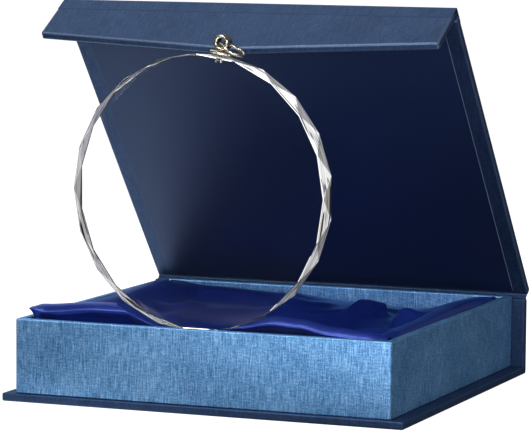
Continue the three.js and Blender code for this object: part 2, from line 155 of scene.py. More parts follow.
# The outputs of one node, by name or by number
class Outputs:
    def __init__(self, shader, node):
        self.shader = shader
        self.node = node

    def __getitem__(self, key):
        return Wire(self.shader, self.node.outputs[key])


# A tree of nodes, for a surface or for a shape
class Nodes:
    def __init__(self, tree):
        self.tree = tree
        self.tree.nodes.clear()

    # Adds a node: its settings first, then the values or links of its sockets
    def node(self, kind, settings, inputs):
        made = self.tree.nodes.new(kind)
        for name, value in settings.items():
            if name == "stops":
                elements = made.color_ramp.elements
                while len(elements) < len(value):
                    elements.new(0.5)
                for element, (position, color) in zip(elements, value):
                    element.position = position
                    element.color = (*color, 1)
            else:
                setattr(made, name, value)
        for name, value in inputs.items():
            for each in value if isinstance(value, list) else [value]:
                if isinstance(each, Wire):
                    self.tree.links.new(each.socket, made.inputs[name])
                else:
                    made.inputs[name].default_value = each
        return Outputs(self, made)


class Shader(Nodes):
    def __init__(self, owner):
        owner.use_nodes = True
        super().__init__(owner.node_tree)

    def ramp(self, value, stops):
        return self.node("ShaderNodeValToRGB", {"stops": stops}, {"Fac": value})["Color"]

    def spread(self, value, low, high, first, last):
        inputs = {"Value": value, "From Min": low, "From Max": high, "To Min": first, "To Max": last}
        return self.node("ShaderNodeMapRange", {}, inputs)["Result"]

    def noise(self, place, scale, detail=2.0, roughness=0.55):
        inputs = {"Vector": place, "Scale": scale, "Detail": detail, "Roughness": roughness}
        return self.node("ShaderNodeTexNoise", {}, inputs)["Fac"]

    def stretched(self, place, scale):
        return self.node("ShaderNodeMapping", {}, {"Vector": place, "Scale": scale})["Vector"]

    def bump(self, height, strength, distance):
        inputs = {"Height": height, "Strength": strength, "Distance": distance}
        return self.node("ShaderNodeBump", {}, inputs)["Normal"]

    def surface(self, **values):
        inputs = {name.replace("_", " "): value for name, value in values.items()}
        made = self.node("ShaderNodeBsdfPrincipled", {}, inputs)
        self.node("ShaderNodeOutputMaterial", {}, {"Surface": made["BSDF"]})


def material(name, paint):
    made = bpy.data.materials.new(name)
    paint(Shader(made))
    return made


# Linen embossing: long threads along the sheet, short ones across it, and a fine mottle
def linen(shader):
    weave = shader.node("ShaderNodeUVMap", {"uv_map": "weave"}, {})["UV"]
    threads = shader.noise(shader.stretched(weave, (3000, 200, 1)), 1.0, 3.0, 0.6)
    crossing = shader.noise(shader.stretched(weave, (330, 2500, 1)), 1.0, 2.0, 0.6)
    mottle = shader.noise(shader.stretched(weave, (2300, 1700, 1)), 1.0, 3.0, 0.7)
    cloud = shader.noise(shader.stretched(weave, (60, 45, 1)), 1.0, 2.0, 0.5)
    return threads * 0.5 + crossing * 0.22 + mottle * 0.4 + cloud * 0.16 - 0.14


# Pearl paper, with a painted highlight: the edge tone is laid along its rounded edges, where they would catch
# the light
def pearl_paper(dark, middle, light, edge, metallic, emboss):
    def paint(shader):
        tone = linen(shader)
        stretch = shader.node("ShaderNodeAttribute", {"attribute_name": "stretch"}, {})["Fac"]
        stops = [(0.38, dark), (0.5, middle), (0.63, light), (1.0, edge)]
        shader.surface(
            # Painted highlight: marked rounded edges are lifted towards the pale edge tone
            Base_Color=shader.ramp(tone + stretch * 0.35, stops),
            Roughness=0.50 - tone * 0.14,
            Metallic=metallic,
            Specular_Tint=(0.5, 0.72, 1.0, 1),
            Normal=shader.bump(tone, emboss, 0.00012),
        )
    return paint


def lining_paper(shader):
    place = shader.node("ShaderNodeTexCoord", {}, {})["Object"]
    grain = shader.noise(place, 1400.0, 4.0, 0.6)
    drift = shader.noise(place, 22.0, 2.0, 0.5)
    tone = grain * 0.5 + drift * 0.5
    shader.surface(
        Base_Color=shader.ramp(tone, [(0.3, (0.0024, 0.004, 0.018)), (0.7, (0.005, 0.0074, 0.029))]),
        Roughness=0.42 + grain * 0.2,
        Normal=shader.bump(grain, 0.12, 0.00006),
        Specular_IOR_Level=1.0,
        Specular_Tint=(0.24, 0.47, 1.0, 1),
    )


def cut_edge(shader):
    place = shader.node("ShaderNodeTexCoord", {}, {})["Object"]
    fibres = shader.noise(place, 2600.0, 3.0, 0.6)
    shader.surface(
        Base_Color=shader.ramp(fibres, [(0.3, (0.10, 0.16, 0.26)), (0.7, (0.24, 0.33, 0.45))]),
        Roughness=0.85,
        Normal=shader.bump(fibres, 0.3, 0.00005),
    )


def raw_board(shader):
    place = shader.node("ShaderNodeTexCoord", {}, {})["Object"]
    fibres = shader.noise(shader.stretched(place, (700, 700, 1800)), 1.0, 4.0, 0.65)
    specks = shader.noise(place, 420.0, 2.0, 0.5)
    tone = fibres * 0.65 + specks * 0.35
    shader.surface(
        Base_Color=shader.ramp(tone, [(0.3, (0.15, 0.135, 0.11)), (0.7, (0.33, 0.31, 0.27))]),
        Roughness=0.9,
        Normal=shader.bump(fibres, 0.4, 0.0001),
    )


def plated_steel(shader):
    place = shader.node("ShaderNodeTexCoord", {}, {})["Object"]
    brushing = shader.noise(shader.stretched(place, (300, 3000, 3000)), 1.0, 2.0, 0.5)
    shader.surface(
        Base_Color=shader.ramp(brushing, [(0.3, (0.46, 0.47, 0.49)), (0.7, (0.6, 0.61, 0.63))]),
        Roughness=0.26 + brushing * 0.16,
        Metallic=1.0,
    )


def soft_foam(shader):
    place = shader.node("ShaderNodeTexCoord", {}, {})["Object"]
    cells = shader.node("ShaderNodeTexVoronoi", {}, {"Vector": place, "Scale": 1500.0})["Distance"]
    shader.surface(
        Base_Color=shader.ramp(cells, [(0.1, (0.72, 0.72, 0.69)), (0.6, (0.82, 0.82, 0.79))]),
        Roughness=0.95,
        Normal=shader.bump(cells, 0.5, 0.0002),
    )


def satin_cloth(shader):
    weave = shader.node("ShaderNodeUVMap", {"uv_map": "weave"}, {})["UV"]
    floats = shader.noise(shader.stretched(weave, (5200, 700, 1)), 1.0, 2.0, 0.5)
    slubs = shader.noise(shader.stretched(weave, (900, 90, 1)), 1.0, 3.0, 0.6)
    drift = shader.noise(weave, 34.0, 2.0, 0.5)
    tone = drift * 0.6 + slubs * 0.25 + floats * 0.15
    shader.surface(
        Base_Color=shader.ramp(tone, [(0.3, (0.0045, 0.012, 0.135)), (0.7, (0.012, 0.033, 0.275))]),
        Roughness=0.26 + floats * 0.1 + slubs * 0.08,
        Metallic=0.6,
        Specular_IOR_Level=1.0,
        Specular_Tint=(0.45, 0.64, 1.0, 1),
        Coat_Weight=0.2,
        Coat_Roughness=0.2,
        Normal=shader.bump(floats * 0.5 + slubs * 0.5, 0.1, 0.00006),
        Sheen_Weight=0.1,
        Sheen_Roughness=0.3,
        Sheen_Tint=(0.15, 0.42, 1.0, 1),
    )


# Painted reflections: long pale streaks with dark ones between them, which stand in for the light that the
# cut rim holds inside
def rim_painted_reflections(shader, place):
    turned = {"Vector": place, "Rotation": (0, 0, DISC_YAW), "Scale": (0.018, 0.0019, 0.018)}
    along_rim = shader.node("ShaderNodeMapping", {"vector_type": "TEXTURE"}, turned)["Vector"]
    dark, pale, grey = (0.06, 0.045, 0.03), (0.98, 0.98, 0.98), (0.16, 0.16, 0.16)
    stops = [(0.37, dark), (0.405, pale), (0.55, pale), (0.57, grey), (0.59, grey), (0.61, pale)]
    return shader.ramp(shader.noise(along_rim, 1.0, 1.0, 0.5), stops)


# The flat faces are clear and mirror little. The facets are partly clear and carry painted reflections, pale
# and dark streaks for the light held inside the rim. Lamps shine through both.
def crystal(clearness, roughness, mirror, with_painted_reflections):
    def paint(shader):
        place = shader.node("ShaderNodeTexCoord", {}, {})["Object"]
        polish = shader.noise(place, 180.0, 2.0, 0.5)
        shader.surface(
            Base_Color=rim_painted_reflections(shader, place) if with_painted_reflections else (1, 1, 1, 1),
            Roughness=polish * 0.02 + roughness,
            IOR=1.52,
            Specular_Tint=(mirror, mirror, mirror, 1),
            Transmission_Weight=clearness,
            Alpha=1 - shader.node("ShaderNodeLightPath", {}, {})["Is Shadow Ray"] * 0.8,
        )
    return paint


def champagne_plating(shader):
    place = shader.node("ShaderNodeTexCoord", {}, {})["Object"]
    wear = shader.noise(place, 900.0, 3.0, 0.6)
    shader.surface(
        Base_Color=shader.ramp(wear, [(0.3, (0.50, 0.45, 0.35)), (0.7, (0.74, 0.69, 0.56))]),
        Roughness=0.16 + wear * 0.16,
        Metallic=1.0,
        Normal=shader.bump(wear, 0.08, 0.00005),
    )


# Each paper's tones: dark, middle, light, and a pale edge tone that is a painted highlight on rounded edges
TRAY_TONES = ((0.034, 0.12, 0.28), (0.115, 0.285, 0.55), (0.30, 0.54, 0.84), (0.36, 0.60, 0.88))
TRAY_PAPER = material("tray_paper", pearl_paper(*TRAY_TONES, metallic=0.8, emboss=0.4))
# The cover's last tone is the same painted highlight for its rounded edges
COVER_TONES = ((0.011, 0.022, 0.062), (0.019, 0.038, 0.093), (0.034, 0.062, 0.135), (0.11, 0.15, 0.23))
COVER_PAPER = material("cover_paper", pearl_paper(*COVER_TONES, metallic=0.6, emboss=0.2))
LINING = material("lining_paper", lining_paper)
CUT_EDGE = material("lining_cut_edge", cut_edge)
BOARD = material("greyboard", raw_board)
STEEL = material("plated_steel", plated_steel)
FOAM = material("foam", soft_foam)
SATIN = material("satin", satin_cloth)
CRYSTAL = material("crystal", crystal(1.0, 0.0, mirror=0.4, with_painted_reflections=False))
# The facet paints are painted light and shade: pale streaks for the light held inside the rim, and a darker,
# clearer copy for facets that lean back
PAINTED_LIGHT_FACET = material("crystal_facet_painted_light", crystal(0.12, 0.02, mirror=1.0, with_painted_reflections=True))
PAINTED_SHADE_FACET = material("crystal_facet_painted_shade", crystal(0.6, 0.01, mirror=1.0, with_painted_reflections=True))
GOLD = material("champagne_plating", champagne_plating)


def placed(name, data):
    piece = bpy.data.objects.new(name, data)
    bpy.context.scene.collection.objects.link(piece)
    return piece


# Outline points pushed inwards by one distance, for a convex outline that runs anticlockwise
def pushed_in(outline, distance):
    result = []
    for index, corner in enumerate(outline):
        before = (corner - outline[index - 1]).normalized()
        after = (outline[(index + 1) % len(outline)] - corner).normalized()
        inward = Vector((-before.y - after.y, before.x + after.x))
        reach = distance / max(1e-9, 0.5 * (1 + before.dot(after)))
        result.append(corner + inward * 0.5 * reach)
    return result


# One ring of points round an outline, set in from it, with rounded corners
def rim_loop(outline, inset, corner_round, steps=5):
    reach = max(corner_round, inset + LEAST_ROUND)
    radius = reach - inset
    ring = []
    centres = pushed_in(outline, reach)
    for index, centre in enumerate(centres):
        before = (outline[index] - outline[index - 1]).normalized()
        after = (outline[(index + 1) % len(outline)] - outline[index]).normalized()
        start = Vector((before.y, -before.x))
        end = Vector((after.y, -after.x))
        turn = -start.angle_signed(end)
        ring.append(centre + start * radius - before * HOLD)
        for step in range(steps + 1):
            spoke = Matrix.Rotation(turn * step / steps, 2) @ start
            ring.append(centre + spoke * radius)
        ring.append(centre + end * radius + after * HOLD)
    return ring


# A built skin made into a piece. Its last argument sets how much painted highlight the paper gets where it is
# bent over an edge.
def finish_mesh(name, builder, place, paints, edge_highlight_strength=0.0):
    bmesh.ops.remove_doubles(builder, verts=builder.verts, dist=WELD)
    bmesh.ops.recalc_face_normals(builder, faces=builder.faces)
    # Painted highlight: each corner on a bent edge gets its share of the pale edge tone
    stretch = builder.verts.layers.float.new("stretch")
    for corner in builder.verts:
        bends = [edge.calc_face_angle(0) for edge in corner.link_edges]
        bend = max([bend for bend in bends if bend < CUT_ANGLE], default=0)
        corner[stretch] = edge_highlight_strength * min(1.0, bend / ROUND_STEP)
    mesh = bpy.data.meshes.new(name)
    builder.to_mesh(mesh)
    builder.free()
    lay_weave(mesh)
    mesh.transform(place)
    for face in mesh.polygons:
        face.use_smooth = True
    mesh.set_sharp_from_angle(angle=SMOOTH_ANGLE)
    for paint in paints:
        mesh.materials.append(paint)
    return placed(name, mesh)


# The sheet's own map in metres: threads run up the walls and from front to back on flat panels
def lay_weave(mesh):
    weave = mesh.uv_layers.new(name="weave")
    for face in mesh.polygons:
        lean = [abs(value) for value in face.normal]
        across, along = ((1, 2), (0, 2), (0, 1))[lean.index(max(lean))]
        for loop in face.loop_indices:
            spot = mesh.vertices[mesh.loops[loop].vertex_index].co
            weave.data[loop].uv = (spot[across], spot[along])


# Points of a section, with (inset, height, round) where the section turns by a right angle
def rounded_path(points):
    path = []
    for index, (inset, height, *extra) in enumerate(points):
        if not extra:
            path.append((inset, height))
            continue
        here = Vector((inset, height))
        before = (Vector(points[index - 1][:2]) - here).normalized()
        after = (Vector(points[index + 1][:2]) - here).normalized()
        radius = extra[0]
        path.append(tuple(here + before * (radius + HOLD)))
        for step in range(ROUND_STEPS + 1):
            angle = step / ROUND_STEPS * math.pi / 2
            spot = here + before * radius * (1 - math.sin(angle)) + after * radius * (1 - math.cos(angle))
            path.append(tuple(spot))
        path.append(tuple(here + after * (radius + HOLD)))
    return path


# The corners of one ring round an outline, which lies flat or stands upright
def ring_at(builder, outline, inset, height, upright, corner_round, steps=5):
    ring = []
    for spot in rim_loop(outline, inset, corner_round, steps):
        where = (spot.x, height, spot.y) if upright else (spot.x, spot.y, height)
        ring.append(builder.verts.new(where))
    return ring


# A band of faces between two rings of corners
def add_band(builder, low, high, paint=0):
    for index in range(len(low)):
        following = (index + 1) % len(low)
        corners = (low[index], low[following], high[following], high[index])
        builder.faces.new(corners).material_index = paint


# A paper skin wrapped round a board. Its section runs round the outline, a cap may close it, and its side
# says which way the paper lies from the section.
def wrap(name, outline, section, paint, place=Matrix(), upright=False, cap=True, side=1, edge_highlight_strength=0.0):
    builder = bmesh.new()
    outer = rounded_path(section)
    inner = []
    for index, (inset, height) in enumerate(outer):
        before = Vector(outer[max(index - 1, 0)])
        after = Vector(outer[min(index + 1, len(outer) - 1)])
        along = (after - before).normalized()
        inner.append((inset - side * along.y * PAPER, height + side * along.x * PAPER))
    rings = [ring_at(builder, outline, *spot, upright, CORNER_ROUND) for spot in outer]
    back = [ring_at(builder, outline, *spot, upright, CORNER_ROUND) for spot in inner]
    loops = list(reversed(back)) + rings if cap else rings + list(reversed(back)) + [rings[0]]
    for low, high in zip(loops, loops[1:]):
        add_band(builder, low, high)
    if cap:
        builder.faces.new(rings[-1])
        builder.faces.new(list(reversed(back[-1])))
    return finish_mesh(name, builder, place, [paint], edge_highlight_strength)


def rectangle(half, front, back):
    return [Vector(corner) for corner in ((-half, front), (half, front), (half, back), (-half, back))]


# A thin lining sheet with its pale cut edge
def lining_sheet(name, outline, low, high, place, upright=False):
    builder = bmesh.new()
    layers = [
        ring_at(builder, outline, *spot, upright, LINER_CORNER, steps=3)
        for spot in ((CUT_BEVEL, low), (0, low + CUT_BEVEL), (0, high))
    ]
    for lower, upper in zip(layers, layers[1:]):
        add_band(builder, lower, upper, paint=1)
    builder.faces.new(list(reversed(layers[0])))
    builder.faces.new(layers[-1])
    return finish_mesh(name, builder, place, [LINING, CUT_EDGE])


# A strip of paper that bends over a hinge, from its section in the YZ plane at rest
def hinge_strip(name, line, half, paper=PAPER):
    builder = bmesh.new()
    dense = [Vector(line[0])]
    for start, end in zip(line, line[1:]):
        start, end = Vector(start), Vector(end)
        count = max(1, round((end - start).length / STRIP_STEP))
        dense += [start.lerp(end, step / count) for step in range(1, count + 1)]
    for _ in range(STRIP_SOFTENING):
        middle = [(a + b * 2 + c) / 4 for a, b, c in zip(dense, dense[1:], dense[2:])]
        dense = [dense[0], *middle, dense[-1]]
    rows = []
    for index, spot in enumerate(dense):
        along = (dense[min(index + 1, len(dense) - 1)] - dense[max(index - 1, 0)]).normalized()
        under = spot + Vector((-along.y, along.x)) * paper
        rows.append([
            builder.verts.new((x, y, z))
            for x, (y, z) in ((-half, spot), (half, spot), (half, under), (-half, under))
        ])
    for low, high in zip(rows, rows[1:]):
        add_band(builder, low, high)
    builder.faces.new(list(reversed(rows[0])))
    builder.faces.new(rows[-1])
    return finish_mesh(name, builder, Matrix(), [COVER_PAPER])


# A mesh made by geometry nodes, whose sizes are the tree's named inputs
def grown(name, build, sizes, paint, place):
    tree = bpy.data.node_groups.new(name, "GeometryNodeTree")
    for label, size in sizes.items():
        kind = "NodeSocketInt" if isinstance(size, int) else "NodeSocketFloat"
        tree.interface.new_socket(label, in_out="INPUT", socket_type=kind)
    tree.interface.new_socket("Geometry", in_out="OUTPUT", socket_type="NodeSocketGeometry")
    nodes = Nodes(tree)
    shape = build(nodes, nodes.node("NodeGroupInput", {}, {}))
    real = nodes.node("GeometryNodeRealizeInstances", {}, {"Geometry": shape})["Geometry"]
    if paint:
        real = nodes.node("GeometryNodeSetMaterial", {}, {"Geometry": real, "Material": paint})["Geometry"]
    nodes.node("NodeGroupOutput", {}, {"Geometry": real})
    seed = placed(name + "_seed", bpy.data.meshes.new(name + "_seed"))
    modifier = seed.modifiers.new("shape", "NODES")
    modifier.node_group = tree
    for socket in tree.interface.items_tree:
        if socket.in_out == "INPUT":
            modifier[socket.identifier] = sizes[socket.name]
    result = seed.evaluated_get(bpy.context.evaluated_depsgraph_get())
    mesh = bpy.data.meshes.new_from_object(result)
    mesh.name = name
    bpy.data.objects.remove(seed)
    mesh.transform(place)
    return placed(name, mesh)


# A copy of a node's solid, smooth but for its sharp edges
def smooth_copy(name, node, paint):
    builder = bmesh.new()
    builder.from_mesh(frame["nodes"][node].data)
    bmesh.ops.remove_doubles(builder, verts=builder.verts, dist=WELD / 2)
    mesh = bpy.data.meshes.new(name)
    builder.to_mesh(mesh)
    builder.free()
    for face in mesh.polygons:
        face.use_smooth = True
        face.material_index = 0
    mesh.set_sharp_from_angle(angle=METAL_ANGLE)
    mesh.materials.clear()
    mesh.materials.append(paint)
    return placed(name, mesh)


def belongs(piece, body, node):
    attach(piece, body)
    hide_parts(node)


# Covering papers
base_low, base_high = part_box("base_wrap")
spine_low, spine_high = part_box("spine_wrap")
tray_low, tray_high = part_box("tray_wrap")
half_cover = base_high.x
base_cover = wrap(
    "base_cover",
    rectangle(half_cover, base_low.y, base_high.y),
    [(BASE_TURN_IN, PANEL), (0, PANEL, EDGE_ROUND), (0, 0, EDGE_ROUND), (6 * MM, 0)],
    COVER_PAPER,
)
belongs(base_cover, "case", "base_wrap")

tray_cover = wrap(
    "tray_cover",
    rectangle(tray_high.x, tray_low.y, tray_high.y),
    [
        (PANEL, tray_high.z - RIM_TURN_IN),
        (PANEL, tray_high.z, EDGE_ROUND),
        (0, tray_high.z, EDGE_ROUND),
        (0, tray_low.z, FOOT_ROUND),
        (FOOT_TURN_IN, tray_low.z),
    ],
    TRAY_PAPER,
    cap=False,
)
belongs(tray_cover, "case", "tray_wrap")

spine_cover = wrap(
    "spine_cover",
    rectangle(half_cover, spine_low.z, spine_high.z),
    [
        (SPINE_TURN_IN, spine_low.y),
        (0, spine_low.y, EDGE_ROUND),
        (0, spine_high.y, EDGE_ROUND),
        (4 * MM, spine_high.y),
    ],
    COVER_PAPER,
    upright=True,
    side=-1,
)
belongs(spine_cover, "case", "spine_wrap")

lid_outer = fold_closed.z + PAPER / 2
lid_inner = lid_outer - PANEL
lid_front = fold_closed.y + FLAP_GUTTER
lid_back = PAPER / 2
lid_cover = wrap(
    "lid_cover",
    rectangle(half_cover, lid_front, lid_back),
    [
        (LID_TURN_IN, lid_inner),
        (0, lid_inner, EDGE_ROUND),
        (0, lid_outer, EDGE_ROUND),
        (6 * MM, lid_outer),
    ],
    COVER_PAPER,
    LID_PLACE,
    side=-1,
    # Painted highlight along the lid's rounded edges
    edge_highlight_strength=0.6,
)
belongs(lid_cover, "lid", "lid_wrap")

flap_inner = PANEL - PAPER / 2
flap_outer = -PAPER / 2
flap_outline = [
    Vector(corner) for corner in (
        (-half_cover, -FLAP_GUTTER), (-half_cover, -FLAP_END), (0, -FLAP_APEX),
        (half_cover, -FLAP_END), (half_cover, -FLAP_GUTTER),
    )
]
flap_cover = wrap(
    "flap_cover",
    flap_outline,
    [
        (FLAP_TURN_IN, flap_inner),
        (0, flap_inner, EDGE_ROUND),
        (0, flap_outer, EDGE_ROUND),
        (5 * MM, flap_outer),
    ],
    COVER_PAPER,
    FLAP_PLACE,
    upright=True,
    # Painted highlight along the flap's rounded edges, at full strength
    edge_highlight_strength=1.0,
)
belongs(flap_cover, "flap", "flap_wrap")

# Lining papers of the lid and the flap
lid_lining = lining_sheet(
    "lid_lining",
    pushed_in(rectangle(half_cover, lid_front, lid_back + LINER_MARGIN - LINER_BACK), LINER_MARGIN),
    lid_inner - LINER_RAISE,
    lid_inner + LINER_DEPTH,
    LID_PLACE,
)
belongs(lid_lining, "lid", "lid_liner")
flap_lining = lining_sheet(
    "flap_lining",
    pushed_in(flap_outline, LINER_MARGIN),
    flap_inner - LINER_DEPTH,
    flap_inner + LINER_RAISE,
    FLAP_PLACE,
    upright=True,
)
belongs(flap_lining, "flap", "flap_liner")


# Paper over the hinges, bent over them as they stand
def in_section(place, y, z):
    spot = place @ Vector((0, y, z))
    return (spot.y, spot.z)


strip_half = half_cover - 0.4 * MM
back_strip = hinge_strip(
    "lid_hinge_paper",
    [
        (spine_high.y + SKIN, spine_high.z - 3.5 * MM),
        (spine_high.y + SKIN, spine_high.z),
        (lid_hinge.y + 0.12 * MM, lid_hinge.z),
        in_section(LID_PLACE, lid_back + SKIN, lid_inner + LINER_DEPTH),
        in_section(LID_PLACE, lid_back + SKIN, lid_outer - EDGE_ROUND),
    ],
    strip_half,
)
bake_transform(back_strip)
top_strip = hinge_strip(
    "spine_hinge_lining",
    [
        in_section(LID_PLACE, -1.5 * MM, lid_inner - SKIN),
        in_section(LID_PLACE, -0.5 * MM, lid_inner - SKIN),
        (lid_hinge.y - 0.2 * MM, spine_high.z + SKIN + 0.1 * MM),
        (spine_high.y - 0.5 * MM, spine_high.z + SKIN),
        (spine_low.y + 0.5 * MM, spine_high.z + SKIN),
    ],
    strip_half,
    THIN_PAPER,
)
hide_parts("hinge_lining")
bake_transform(top_strip)
fold_strip = hinge_strip(
    "flap_hinge_paper",
    [
        in_section(LID_PLACE, lid_front + 2.5 * MM, lid_outer + SKIN),
        in_section(LID_PLACE, fold_closed.y + 0.5 * MM, lid_outer + SKIN),
        in_section(LID_PLACE, fold_closed.y - 0.1 * MM, lid_outer),
        in_section(FLAP_PLACE, flap_outer - SKIN, -0.5 * MM),
        in_section(FLAP_PLACE, flap_outer - SKIN, -FLAP_GUTTER - 2.5 * MM),
    ],
    strip_half + 0.3 * MM,
)
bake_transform(fold_strip)
inner_strip = hinge_strip(
    "flap_hinge_lining",
    [
        in_section(FLAP_PLACE, flap_inner + SKIN, -FLAP_GUTTER - 4 * MM),
        in_section(FLAP_PLACE, flap_inner + SKIN, -FLAP_GUTTER - 0.5 * MM),
        in_section(FLAP_PLACE, 0.7 * MM, -FLAP_GUTTER + 0.8 * MM),
        in_section(FLAP_PLACE, 0.5 * MM, -0.9 * MM),
        in_section(LID_PLACE, fold_closed.y + 0.9 * MM, lid_outer - 0.65 * MM),
        in_section(LID_PLACE, lid_front - 0.8 * MM, lid_outer - 0.85 * MM),
        in_section(LID_PLACE, lid_front + 0.5 * MM, lid_inner - SKIN),
        in_section(LID_PLACE, lid_front + 4 * MM, lid_inner - SKIN),
    ],
    strip_half,
    THIN_PAPER,
)
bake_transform(inner_strip)

# Boards, magnets and foam keep their solids
for name, node in frame["nodes"].items():
    if name.endswith(("_board", "_wall")) or name == "tray_floor":
        paint = BOARD
    elif name.startswith(("keeper", "magnet")):
        paint = STEEL
    elif name == "foam_pad":
        paint = FOAM
    else:
        paint = COVER_PAPER
    node.data.materials.clear()
    node.data.materials.append(paint)
    for face in node.data.polygons:
        face.material_index = 0

# The medal. Its own frame has the disc's middle as origin, faces -Y and has the bail over +Z.
rim_height = tray_high.z
disc_centre = Vector((
    -DISC_OFFSET,
    tray_low.y + DISC_SETBACK + DISC_THICKNESS / 2,
    rim_height - DISC_SINK + DISC_RADIUS,
))
eye_height = (Vector(hinges["ring_swing"]["pos_m"]) - disc_centre).length
MEDAL_PLACE = (
    Matrix.Translation(disc_centre)
    @ Matrix.Rotation(DISC_YAW, 4, "Z")
    @ Matrix.Rotation(DISC_ROLL, 4, "Y")
)


# The cut disc: rings of corners on both faces, with those of the front turned by half a side, and the
# hull over them, whose rim is a band of triangular facets. A fine chamfer runs along each face's edge.
# Painted
# light and shade: facets that lean to the front are painted pale, and those that lean back darker.
def cut_disc(nodes, size):
    half_turn = nodes.node("ShaderNodeMath", {"operation": "DIVIDE"}, {0: math.pi, 1: size["Sides"]})["Value"]
    half = size["Thickness"] * 0.5
    cosine = nodes.node("ShaderNodeMath", {"operation": "COSINE"}, {0: half_turn})["Value"]
    pull = size["Chamfer"] * (1 - cosine)
    corner = size["Radius"] - pull * size["Radius"] * (1 / DISC_THICKNESS)
    rings = []
    for facing in (1, -1):
        for radius, height in ((size["Radius"] - size["Chamfer"], half), (corner, half - size["Chamfer"])):
            inputs = {"Vertices": size["Sides"], "Radius": radius}
            ring = nodes.node("GeometryNodeMeshCircle", {}, inputs)["Mesh"]
            turned = half_turn * (0.5 + 0.5 * facing)
            inputs = {
                "Geometry": ring,
                "Translation": nodes.node("ShaderNodeCombineXYZ", {}, {"Z": height * facing})["Vector"],
                "Rotation": nodes.node("ShaderNodeCombineXYZ", {}, {"Z": turned})["Vector"],
            }
            rings.append(nodes.node("GeometryNodeTransform", {}, inputs)["Geometry"])
    joined = nodes.node("GeometryNodeJoinGeometry", {}, {"Geometry": rings})["Geometry"]
    hull = nodes.node("GeometryNodeConvexHull", {}, {"Geometry": joined})["Convex Hull"]
    inputs = {"Vertices": DRILL_SIDES, "Radius": size["Hole Radius"], "Depth": size["Hole Depth"] * 2}
    drill = nodes.node("GeometryNodeMeshCylinder", {}, inputs)["Mesh"]
    inputs = {
        "Geometry": drill,
        "Translation": nodes.node("ShaderNodeCombineXYZ", {}, {"Y": size["Radius"]})["Vector"],
        "Rotation": (math.pi / 2, 0, 0),
    }
    drill = nodes.node("GeometryNodeTransform", {}, inputs)["Geometry"]
    settings = {"operation": "DIFFERENCE", "solver": "EXACT"}
    cut = nodes.node("GeometryNodeMeshBoolean", settings, {"Mesh 1": hull, "Mesh 2": drill})["Mesh"]
    flat = nodes.node("GeometryNodeSetShadeSmooth", {}, {"Geometry": cut, "Shade Smooth": False})["Geometry"]
    normal = nodes.node("GeometryNodeInputNormal", {}, {})["Normal"]
    lean = nodes.node("ShaderNodeSeparateXYZ", {}, {"Vector": normal})["Z"]
    painted = nodes.node("GeometryNodeSetMaterial", {}, {"Geometry": flat, "Material": CRYSTAL})["Geometry"]
    # Painted light and shade: front-leaning facets get the pale paint, back-leaning ones the darker one
    for paint, low, high in ((PAINTED_LIGHT_FACET, 0.01, 0.2), (PAINTED_SHADE_FACET, -0.2, -0.01)):
        above = nodes.node("ShaderNodeMath", {"operation": "GREATER_THAN"}, {0: lean, 1: low})["Value"]
        below = nodes.node("ShaderNodeMath", {"operation": "LESS_THAN"}, {0: lean, 1: high})["Value"]
        inputs = {"Geometry": painted, "Selection": above * below, "Material": paint}
        painted = nodes.node("GeometryNodeSetMaterial", {}, inputs)["Geometry"]
    return painted


disc = grown(
    "cut_crystal_disc",
    cut_disc,
    {
        "Radius": DISC_RADIUS, "Thickness": DISC_THICKNESS, "Sides": DISC_SIDES, "Chamfer": DISC_CHAMFER,
        "Hole Radius": HOLE_RADIUS, "Hole Depth": HOLE_DEPTH,
    },
    None,
    MEDAL_PLACE @ Matrix.Rotation(math.pi / 2, 4, "X"),
)
belongs(disc, "medal", "crystal_disc")


# The jump ring: round wire that follows a circle through the eye
def wire_ring(nodes, size):
    inputs = {"Resolution": RING_STEPS, "Radius": size["Radius"]}
    path = nodes.node("GeometryNodeCurvePrimitiveCircle", {}, inputs)["Curve"]
    inputs = {"Resolution": WIRE_SIDES, "Radius": size["Wire"]}
    wire = nodes.node("GeometryNodeCurvePrimitiveCircle", {}, inputs)["Curve"]
    inputs = {"Curve": path, "Profile Curve": wire}
    return nodes.node("GeometryNodeCurveToMesh", {}, inputs)["Mesh"]


ring_place = (
    MEDAL_PLACE
    @ Matrix.Translation((0, 0, eye_height))
    @ Matrix.Rotation(-RING_REST, 4, "Y")
    @ Matrix.Translation((RING_RADIUS, 0, 0))
)
ring = grown("ring_wire", wire_ring, {"Radius": RING_RADIUS, "Wire": WIRE_RADIUS}, GOLD, ring_place)
belongs(ring, "ring", "jump_ring")
for name, node in (("bail_collar", "bail_cap"), ("bail_barrel", "bail_eye")):
    belongs(smooth_copy(name, node, GOLD), "medal", node)

# Satin. Places are shares of the tray's inner half width and half depth, heights are mm above the rim.
SATIN_COLUMNS = 200
SATIN_ROWS = 200
SATIN_THICKNESS = 0.25 * MM
ROLL_ROWS = 56
ROLL_START = -0.68
ROLL_FADE = 0.14
SLOPE_STEP = 0.06
SATIN_LEVEL = -5.2
BOWL_DEPTH = 5.4
BOWL_RADIUS = 40 * MM
BOWL_SLOPE = 16 * MM
EDGE_TUCK = 5.0
WALL_GAP = 0.4 * MM
DISC_GAP = 0.5 * MM
FRONT_CREST = [
    (-1.0, 3.0), (-0.93, 3.9), (-0.61, 5.3), (-0.44, 5.3), (-0.33, 3.2), (-0.2, 0.2), (-0.08, -0.9),
    (0.02, -0.2), (0.18, 2.7), (0.38, 4.3), (0.51, 3.9), (0.7, 2.2), (0.86, 1.7), (1.0, 0.6),
]
FRONT_HEM = [(-1.0, 2.4), (-0.93, -1.0), (-0.84, -4.0), (1.0, -4.0)]
FRONT_TUCK = [
    (-1.0, 2.4), (-0.95, 0.8), (-0.90, 3.0), (-0.82, 1.8), (-0.6, 3.4), (-0.4, 3.4), (0.1, 3.0), (0.36, 6.0),
    (0.6, 5.0), (0.8, 2.0), (1.0, 0.7),
]
